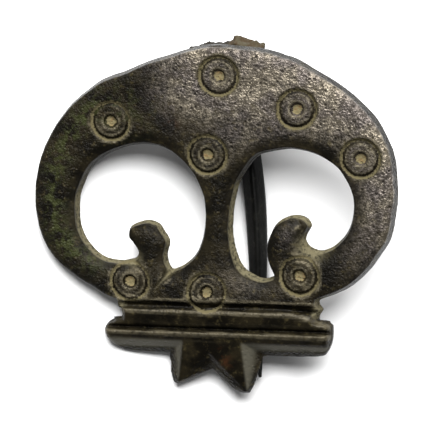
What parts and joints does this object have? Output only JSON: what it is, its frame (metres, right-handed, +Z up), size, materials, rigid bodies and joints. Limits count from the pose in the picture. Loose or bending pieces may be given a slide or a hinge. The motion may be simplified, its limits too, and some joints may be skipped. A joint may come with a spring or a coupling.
{
  "type": "openwork plate brooch",
  "caption": "Openwork plate brooch in patinated copper alloy: inward volutes, ring-and-dot marks, a moulded crossbar with a toothed foot, and a coiled spring pin behind.",
  "frame": {"origin": "bottom centre of the bounding box, with the brooch lying face up on its catch, its spring and the left end of its crossbar", "axes": "+X to the face's right, +Y towards the rounded top edge of the plate, +Z up, away from the surface it lies on"},
  "size_m": [0.0406, 0.0396, 0.0103],
  "materials": {
    "patinated_bronze": "dark brown patina with olive in the hollows and worn, slightly shiny ridges",
    "dark_wire": "dark brown patina, smooth and worn on the coils",
    "rusted_iron": "matt brown rust"
  },
  "bodies": {
    "brooch": {"plate": "patinated_bronze", "axis_rod": "rusted_iron"},
    "pin": {"spring_pin": "dark_wire"}
  },
  "joints": [
    {"name": "pin_opening", "type": "hinge", "parent": "brooch", "child": "pin", "pos_m": [0.0005, 0.0171, 0.00314], "axis": [0.9782, 0.0838, 0.19], "range_deg": [0, 25]}
  ]
}
